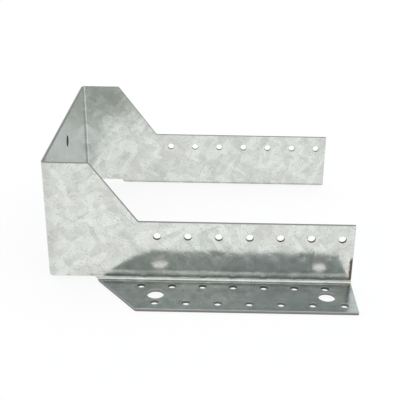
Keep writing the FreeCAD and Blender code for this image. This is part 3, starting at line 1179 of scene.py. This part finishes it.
@dataclass
class JoistHanger:
    """The one piece: a punched blank, folded, with sheared edges and a galvanised finish."""

    blank: Blank = field(default_factory=Blank)
    edge: ShearedEdge = field(default_factory=ShearedEdge)
    finish: GalvanisedSteel = field(default_factory=GalvanisedSteel)

    def fill(self, lines: list[CutLine]) -> tuple[Array, Array]:
        """Fills the blank between its cut lines with triangles.

        The skin's border is each cut line set in by the first station of the sheared edge. Rows along the
        bends are kept as edges, and triangles outside the metal are dropped.

        Args:
            lines: The outline and the holes.

        Returns:
            Places (n, 2) of the rows' points, and triangles (m, 3), which count the border's points first.
        """
        border = np.concatenate([c.points + self.edge.inset[0] * c.inward for c in lines])
        rows, pairs = self.blank.bend_rows()
        ring = np.stack((np.arange(len(border)), self.successors(lines)), axis=1)
        edges = np.concatenate((ring, pairs + len(border)))
        points = np.concatenate((border, rows))
        found = delaunay_2d_cdt(list(map(Vector, points.tolist())), edges.tolist(), [], 0, MERGED, True)
        made, triangles = np.array(found[0]), np.array(found[2])
        if len(made) != len(points) or not np.allclose(made, points, atol=MATCHED):
            raise ValueError(f"the cut lines cross: {len(points)} points became {len(made)}")
        metal = self.enclosed(made[triangles].mean(axis=1), border[ring[:, 0]], border[ring[:, 1]])
        return rows, triangles[metal]

    @staticmethod
    def enclosed(places: Array, start: Array, end: Array) -> Array:
        """Tells which places lie in the metal: a ray from them crosses an odd number of border edges.

        Args:
            places: Points (n, 2) on the blank.
            start: Where each border edge (m, 2) begins.
            end: Where it ends.

        Returns:
            True for each place in the metal.
        """
        s, h = places[:, 0, None], places[:, 1, None]
        spans = (start[:, 1] > h) != (end[:, 1] > h)
        rise = np.where(end[:, 1] == start[:, 1], 1.0, end[:, 1] - start[:, 1])
        meets = start[:, 0] + (h - start[:, 1]) / rise * (end[:, 0] - start[:, 0])
        return (spans & (s < meets)).sum(axis=1) % 2 == 1

    @staticmethod
    def successors(lines: list[CutLine]) -> Array:
        """Numbers each point's neighbour, with the points of all lines counted in one run.

        Args:
            lines: The closed cut lines.

        Returns:
            The number of the next point along its line, for each point.
        """
        sizes = np.array([len(c.points) for c in lines])
        start = np.cumsum(sizes) - sizes
        number = np.arange(sizes.sum())
        first, size = np.repeat(start, sizes), np.repeat(sizes, sizes)
        return first + (number - first + 1) % size

    def build(self) -> bpy.types.Object:
        """Builds the folded sheet.

        The sheared edge's profile is carried along every cut line as a grid of stations by points, the two
        skins share one filling of the blank, and all of it is folded at once. Normals come from the folds'
        own formula.

        Returns:
            The hanger as one closed mesh at the origin.
        """
        fold = self.blank.fold
        lines = [self.blank.outline(), *self.blank.holes()]
        rows, triangles = self.fill(lines)
        cut = np.concatenate([c.points for c in lines])
        inward = np.concatenate([c.inward for c in lines])
        inset, depth, lean, bare = (np.array(v) for v in (
            self.edge.inset, self.edge.depth, np.radians(self.edge.lean), self.edge.bare
        ))
        stations, count, extra = len(inset), len(cut), len(rows)

        ring = cut[None] + inset[:, None, None] * inward[None]
        flat = np.concatenate((ring.reshape(-1, 2), rows, rows))
        through = np.concatenate((np.repeat(depth, count), np.ones(extra), -np.ones(extra)))
        angle = np.concatenate((np.repeat(lean, count), np.zeros(extra), np.full(extra, math.pi)))
        along = np.concatenate([np.full(len(c.points), c.bare) for c in lines])
        # Past 1, bareness is painted shade in the holes' walls.
        bareness = np.concatenate(((bare[:, None] * along).ravel(), np.zeros(2 * extra)))
        outward = np.concatenate((np.tile(-inward, (stations, 1)), np.zeros((2 * extra, 2))))

        s, h = flat.T
        points = fold.place(s, h, through * fold.half) * MM
        along_s, along_h, skin = fold.axes(s, h)
        sideways = outward[:, :1] * along_s + outward[:, 1:] * along_h
        normals = np.cos(angle)[:, None] * skin + np.sin(angle)[:, None] * sideways

        after, number = self.successors(lines), np.arange(count)
        level = count * np.arange(stations - 1)[:, None]
        strips = (level + number, level + after, level + count + after, level + count + number)
        outer = np.concatenate((number, stations * count + np.arange(extra)))
        inner = np.concatenate(((stations - 1) * count + number, stations * count + extra + np.arange(extra)))
        faces = outer[triangles[:, ::-1]].tolist() + inner[triangles].tolist()
        faces += np.stack(strips, axis=-1).reshape(-1, 4).tolist()

        mesh = bpy.data.meshes.new("folded_hanger")
        mesh.from_pydata(points.tolist(), [], faces)
        mesh.polygons.foreach_set("use_smooth", np.ones(len(mesh.polygons), bool))
        self.add_map(mesh, flat + np.where(through < 0, INNER_SHIFT, 0.0)[:, None] * (1.0, 0.0))
        self.add_attribute(mesh, CUT_ATTRIBUTE, bareness)
        self.add_attribute(mesh, DEPTH_ATTRIBUTE, through)
        mesh.validate()
        mesh.normals_split_custom_set_from_vertices(normals.tolist())
        piece = bpy.data.objects.new("folded_hanger", mesh)
        bpy.context.scene.collection.objects.link(piece)
        return piece

    @staticmethod
    def add_map(mesh: bpy.types.Mesh, flat: Array) -> None:
        """Writes each corner's place on the blank, in metres, as the mesh's own map.

        Args:
            mesh: The mesh.
            flat: Places (n, 2) of its vertices, in millimetres.
        """
        corner = np.empty(len(mesh.loops), np.int32)
        mesh.loops.foreach_get("vertex_index", corner)
        layer = mesh.uv_layers.new(name=BLANK_MAP)
        layer.data.foreach_set("uv", (flat[corner] * MM).astype(np.float32).ravel())

    @staticmethod
    def add_attribute(mesh: bpy.types.Mesh, name: str, values: Array) -> None:
        """Writes one number for each vertex."""
        mesh.attributes.new(name, "FLOAT", "POINT").data.foreach_set("value", values.astype(np.float32))

    def dress(self, piece: bpy.types.Object) -> None:
        """Gives the piece its finish, and puts it on the frame in the solid's place.

        Args:
            piece: The folded hanger.
        """
        piece.data.materials.append(self.finish.material())
        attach(piece, "root")
        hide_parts(NODE)


@dataclass(frozen=True)
class Studio:
    """A pale table under a wide soft light, and the camera.

    Attributes:
        floor_half: Half the floor's width, in metres.
        floor_drop: How far the floor lies under the header face, in metres, so that they share no plane.
        floor_colour: The floor's colour.
        floor_share: How much of the floor that is seen is plain white, the rest being for the shadow.
        wall_colour: Colour of the room's walls.
        room: Brightness of the room's walls on the camera's side.
        far_room: Brightness of the walls beyond the object.
        skyline: Brightness of the walls' foot, all round.
        overhead: Brightness of the soft light overhead.
        far_side: Parts along +Y of the directions between which the walls turn from near to far.
        overhead_from: Angles above the horizon between which the soft light comes in, in degrees.
        foot_to: Angles above the horizon between which the walls' foot fades, in degrees.
        lens: Focal length, in millimetres.
        film: Width of the film, in millimetres.
        clip: Nearest and farthest that the camera sees, in metres.
        framing: Sideways shift of the film, in widths, for the photograph's framing.
        camera_place: Where the camera stands, in millimetres in the row frame.
        camera_forward: The way that it looks.
        camera_right: Its right-hand direction.
    """

    floor_half: float = 9.0
    floor_drop: float = 0.0002
    floor_colour: Colour = (0.96, 0.96, 0.96)
    floor_share: float = 0.84
    wall_colour: Colour = (0.93, 1.0, 1.03)
    room: float = 0.412
    far_room: float = 0.88
    skyline: float = 1.0
    overhead: float = 1.3
    far_side: Span = (-0.72, -0.38)
    overhead_from: Span = (38.0, 50.0)
    foot_to: Span = (6.0, 33.0)
    lens: float = 71.68
    film: float = 36.0
    clip: Span = (0.01, 100.0)
    framing: float = -0.03
    camera_place: tuple[float, float, float] = (106.66, -538.47, 272.38)
    camera_forward: tuple[float, float, float] = (-0.00286, 0.90717, -0.42075)
    camera_right: tuple[float, float, float] = (0.99983, 0.01016, 0.01511)

    def build_floor(self) -> bpy.types.Object:
        """Lays the floor, one square of a flat grid, part plain white and part lit.

        Returns:
            The floor.
        """
        span = np.array((-self.floor_half, self.floor_half))
        x, y = np.meshgrid(span, span)
        points = np.stack((x, y, np.full_like(x, -self.floor_drop)), axis=-1).reshape(-1, 3)
        mesh = bpy.data.meshes.new("table")
        mesh.from_pydata(points.tolist(), [], [(0, 1, 3, 2)])
        material = bpy.data.materials.new("pale_table")
        material.use_nodes = True
        graph = NodeGraph(material.node_tree)
        ray = graph.node("ShaderNodeLightPath")
        seen = ray["Is Camera Ray"] + ray["Is Glossy Ray"] + ray["Is Transmission Ray"]
        pale = graph.node("ShaderNodeEmission", None, {"Color": rgba((1.0, 1.0, 1.0))})["Emission"]
        lit = graph.node("ShaderNodeBsdfDiffuse", None, {"Color": rgba(self.floor_colour)})["BSDF"]
        share = self.floor_share * seen.maths("MINIMUM", seen, 1.0)
        shader = graph.node("ShaderNodeMixShader", None, {0: share, 1: lit, 2: pale})["Shader"]
        graph.node("ShaderNodeOutputMaterial", None, {"Surface": shader})
        mesh.materials.append(material)
        floor = bpy.data.objects.new("table", mesh)
        bpy.context.scene.collection.objects.link(floor)
        return floor

    def build_light(self) -> None:
        """Lights the scene by its surroundings alone.

        Going up from the horizon, the walls' foot is as pale as the floor, the walls are darker, more so
        behind the camera, and a wide soft light fills the space overhead.
        """
        world = bpy.data.worlds.new("studio")
        world.use_nodes = True
        bpy.context.scene.world = world
        graph = NodeGraph(world.node_tree)
        way = graph.node("ShaderNodeTexCoord")["Generated"]
        parts = graph.node("ShaderNodeSeparateXYZ", None, {"Vector": way})
        wall = self.room + (self.far_room - self.room) * graph.rise(parts["Y"], self.far_side)
        top = graph.rise(parts["Z"], np.sin(np.radians(self.overhead_from)).tolist())
        foot = 1 - graph.rise(parts["Z"], np.sin(np.radians(self.foot_to)).tolist())
        strength = wall + (self.overhead - wall) * top + (self.skyline - wall) * foot
        colour = graph.blend(top.maths("MAXIMUM", top, foot), self.wall_colour, (1.0, 1.0, 1.0))
        inputs = {"Color": colour, "Strength": strength}
        shader = graph.node("ShaderNodeBackground", None, inputs)["Background"]
        graph.node("ShaderNodeOutputWorld", None, {"Surface": shader})

    def build_camera(self) -> bpy.types.Object:
        """Stands the camera at the photograph's viewing angle.

        Returns:
            The camera.
        """
        forward = Vector(self.camera_forward).normalized()
        right = Vector(self.camera_right)
        right = (right - forward * right.dot(forward)).normalized()
        up = right.cross(forward)
        data = bpy.data.cameras.new("camera")
        data.lens = self.lens
        data.sensor_width = self.film
        data.shift_x = self.framing
        data.clip_start, data.clip_end = self.clip
        camera = bpy.data.objects.new("camera", data)
        turned = Matrix((right, up, -forward)).transposed().to_4x4()
        camera.matrix_world = Matrix.Translation(Vector(self.camera_place) * MM) @ turned
        bpy.context.scene.collection.objects.link(camera)
        bpy.context.scene.camera = camera
        return camera


def main() -> None:
    """Builds the studio and the hanger in order, and reports each piece."""
    logging.basicConfig(level=logging.INFO, format="%(name)s: %(message)s")
    bpy.context.scene.view_settings.view_transform = "Standard"
    studio = Studio()
    studio.build_camera()
    studio.build_light()
    LOG.info("floor %s", studio.build_floor().name)
    hanger = JoistHanger()
    piece = hanger.build()
    hanger.dress(piece)
    counts = len(piece.data.vertices), len(piece.data.polygons)
    LOG.info("piece %s: %d vertices, %d faces", piece.name, *counts)


if __name__ == "__main__":
    main()
